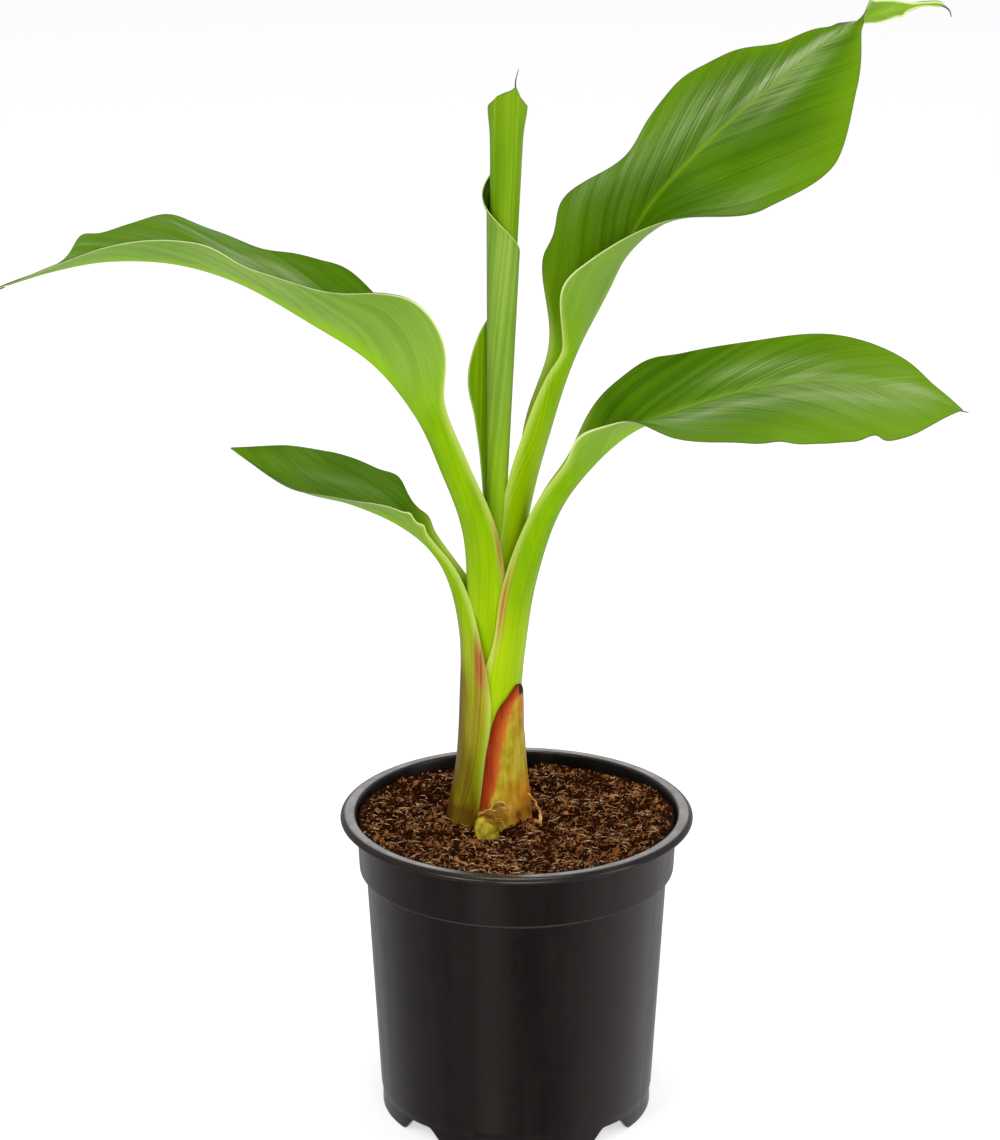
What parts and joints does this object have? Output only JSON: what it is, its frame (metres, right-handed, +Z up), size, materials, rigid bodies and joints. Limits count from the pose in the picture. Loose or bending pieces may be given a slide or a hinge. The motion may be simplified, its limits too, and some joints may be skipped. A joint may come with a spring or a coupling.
{
  "type": "potted golden lotus banana plant",
  "caption": "Young golden lotus banana in a round black nursery pot: a short stem of clasping leaf bases, broad arching leaves, a rolled new leaf, an old cut leaf base and a small side bud.",
  "frame": {"origin": "on the ground, under the centre of the pot", "axes": "+Z up, -Y towards the front and +X to the right as seen from the front"},
  "size_m": [0.4406, 0.1919, 0.5279],
  "materials": {
    "pot": "satin black",
    "soil": "loose fibrous potting mix",
    "stem": "smooth and fleshy",
    "bud": "smooth and fleshy",
    "old_sheath": "drying and mottled",
    "rolled_leaf": "smooth with a light bloom",
    "petiole": "smooth and fleshy",
    "blade": "satin leaf with fine side veins"
  },
  "bodies": {
    "root": {"pot": "pot", "soil": "soil", "pseudostem": "stem", "offset_bud": "bud", "old_sheath": "old_sheath", "rolled_leaf": "rolled_leaf", "petiole_upper_right": "petiole", "leaf_upper_right": "blade", "petiole_upper_left": "petiole", "leaf_upper_left": "blade", "petiole_right": "petiole", "leaf_right": "blade", "petiole_lower_left": "petiole", "leaf_lower_left": "blade"}
  },
  "joints": []
}
